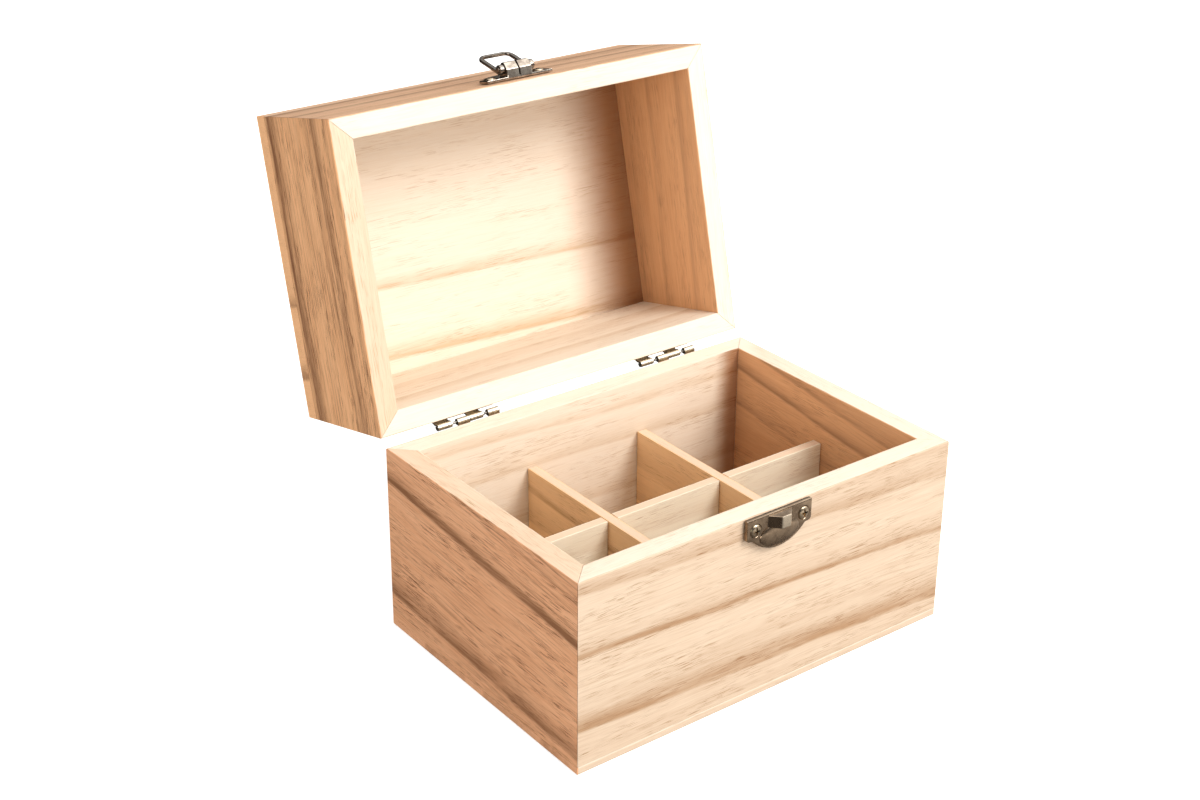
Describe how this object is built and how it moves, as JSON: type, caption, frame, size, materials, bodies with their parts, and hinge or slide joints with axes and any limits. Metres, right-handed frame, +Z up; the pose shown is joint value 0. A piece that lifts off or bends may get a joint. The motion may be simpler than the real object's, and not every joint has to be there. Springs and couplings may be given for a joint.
{
  "type": "art supply box",
  "caption": "Small wooden box with a hinged lid standing open, crossed dividers making a grid of compartments, butt hinges behind and a swinging ring clasp in front.",
  "frame": {"origin": "centre of the underside of the bottom panel, on the plane the box stands on", "axes": "+X to the right along the box's length, +Y from the clasp side to the hinge side, +Z up"},
  "size_m": [0.175, 0.2143, 0.2025],
  "materials": {
    "box_wood": "bare sanded light wood, darker streaks along the boards",
    "panel_wood": "bare sanded light wood",
    "divider_wood": "bare sanded light wood",
    "lid_wood": "bare sanded light wood, tan streaks along the boards",
    "hinge_metal": "dull pale brass plate, slightly tarnished",
    "screw_metal": "antiqued brass plate, bright on the raised head",
    "bronze": "antique bronze plating, dark with rubbed edges",
    "ring_metal": "antique bronze plating, dark"
  },
  "bodies": {
    "box": {"box_front": "box_wood", "box_back": "box_wood", "box_left": "box_wood", "box_right": "box_wood", "box_bottom": "panel_wood", "long_divider": "divider_wood", "cross_divider_left": "divider_wood", "cross_divider_right": "divider_wood", "hinge_left_box_leaf": "hinge_metal", "hinge_left_pin": "hinge_metal", "hinge_left_box_screw_1": "screw_metal", "hinge_left_box_screw_2": "screw_metal", "hinge_right_box_leaf": "hinge_metal", "hinge_right_pin": "hinge_metal", "hinge_right_box_screw_1": "screw_metal", "hinge_right_box_screw_2": "screw_metal", "catch_plate": "bronze", "catch_screw_left": "screw_metal", "catch_screw_right": "screw_metal"},
    "lid": {"lid_front": "lid_wood", "lid_back": "lid_wood", "lid_left": "lid_wood", "lid_right": "lid_wood", "lid_top": "lid_wood", "hinge_left_lid_leaf": "hinge_metal", "hinge_left_lid_screw_1": "screw_metal", "hinge_left_lid_screw_2": "screw_metal", "hinge_right_lid_leaf": "hinge_metal", "hinge_right_lid_screw_1": "screw_metal", "hinge_right_lid_screw_2": "screw_metal", "hasp_plate": "bronze", "hasp_screw_left": "screw_metal", "hasp_screw_right": "screw_metal", "hasp_pin": "bronze"},
    "ring": {"hasp_ring": "ring_metal"}
  },
  "joints": [
    {"name": "lid_hinge", "type": "hinge", "parent": "box", "child": "lid", "pos_m": [0, 0.0629, 0.0772], "axis": [1, 0, 0], "range_deg": [0, 103.3]},
    {"name": "ring_swing", "type": "hinge", "parent": "lid", "child": "ring", "pos_m": [0.0004, 0.09991, 0.19987], "axis": [1, 0, 0], "range_deg": [-27, 158]}
  ]
}
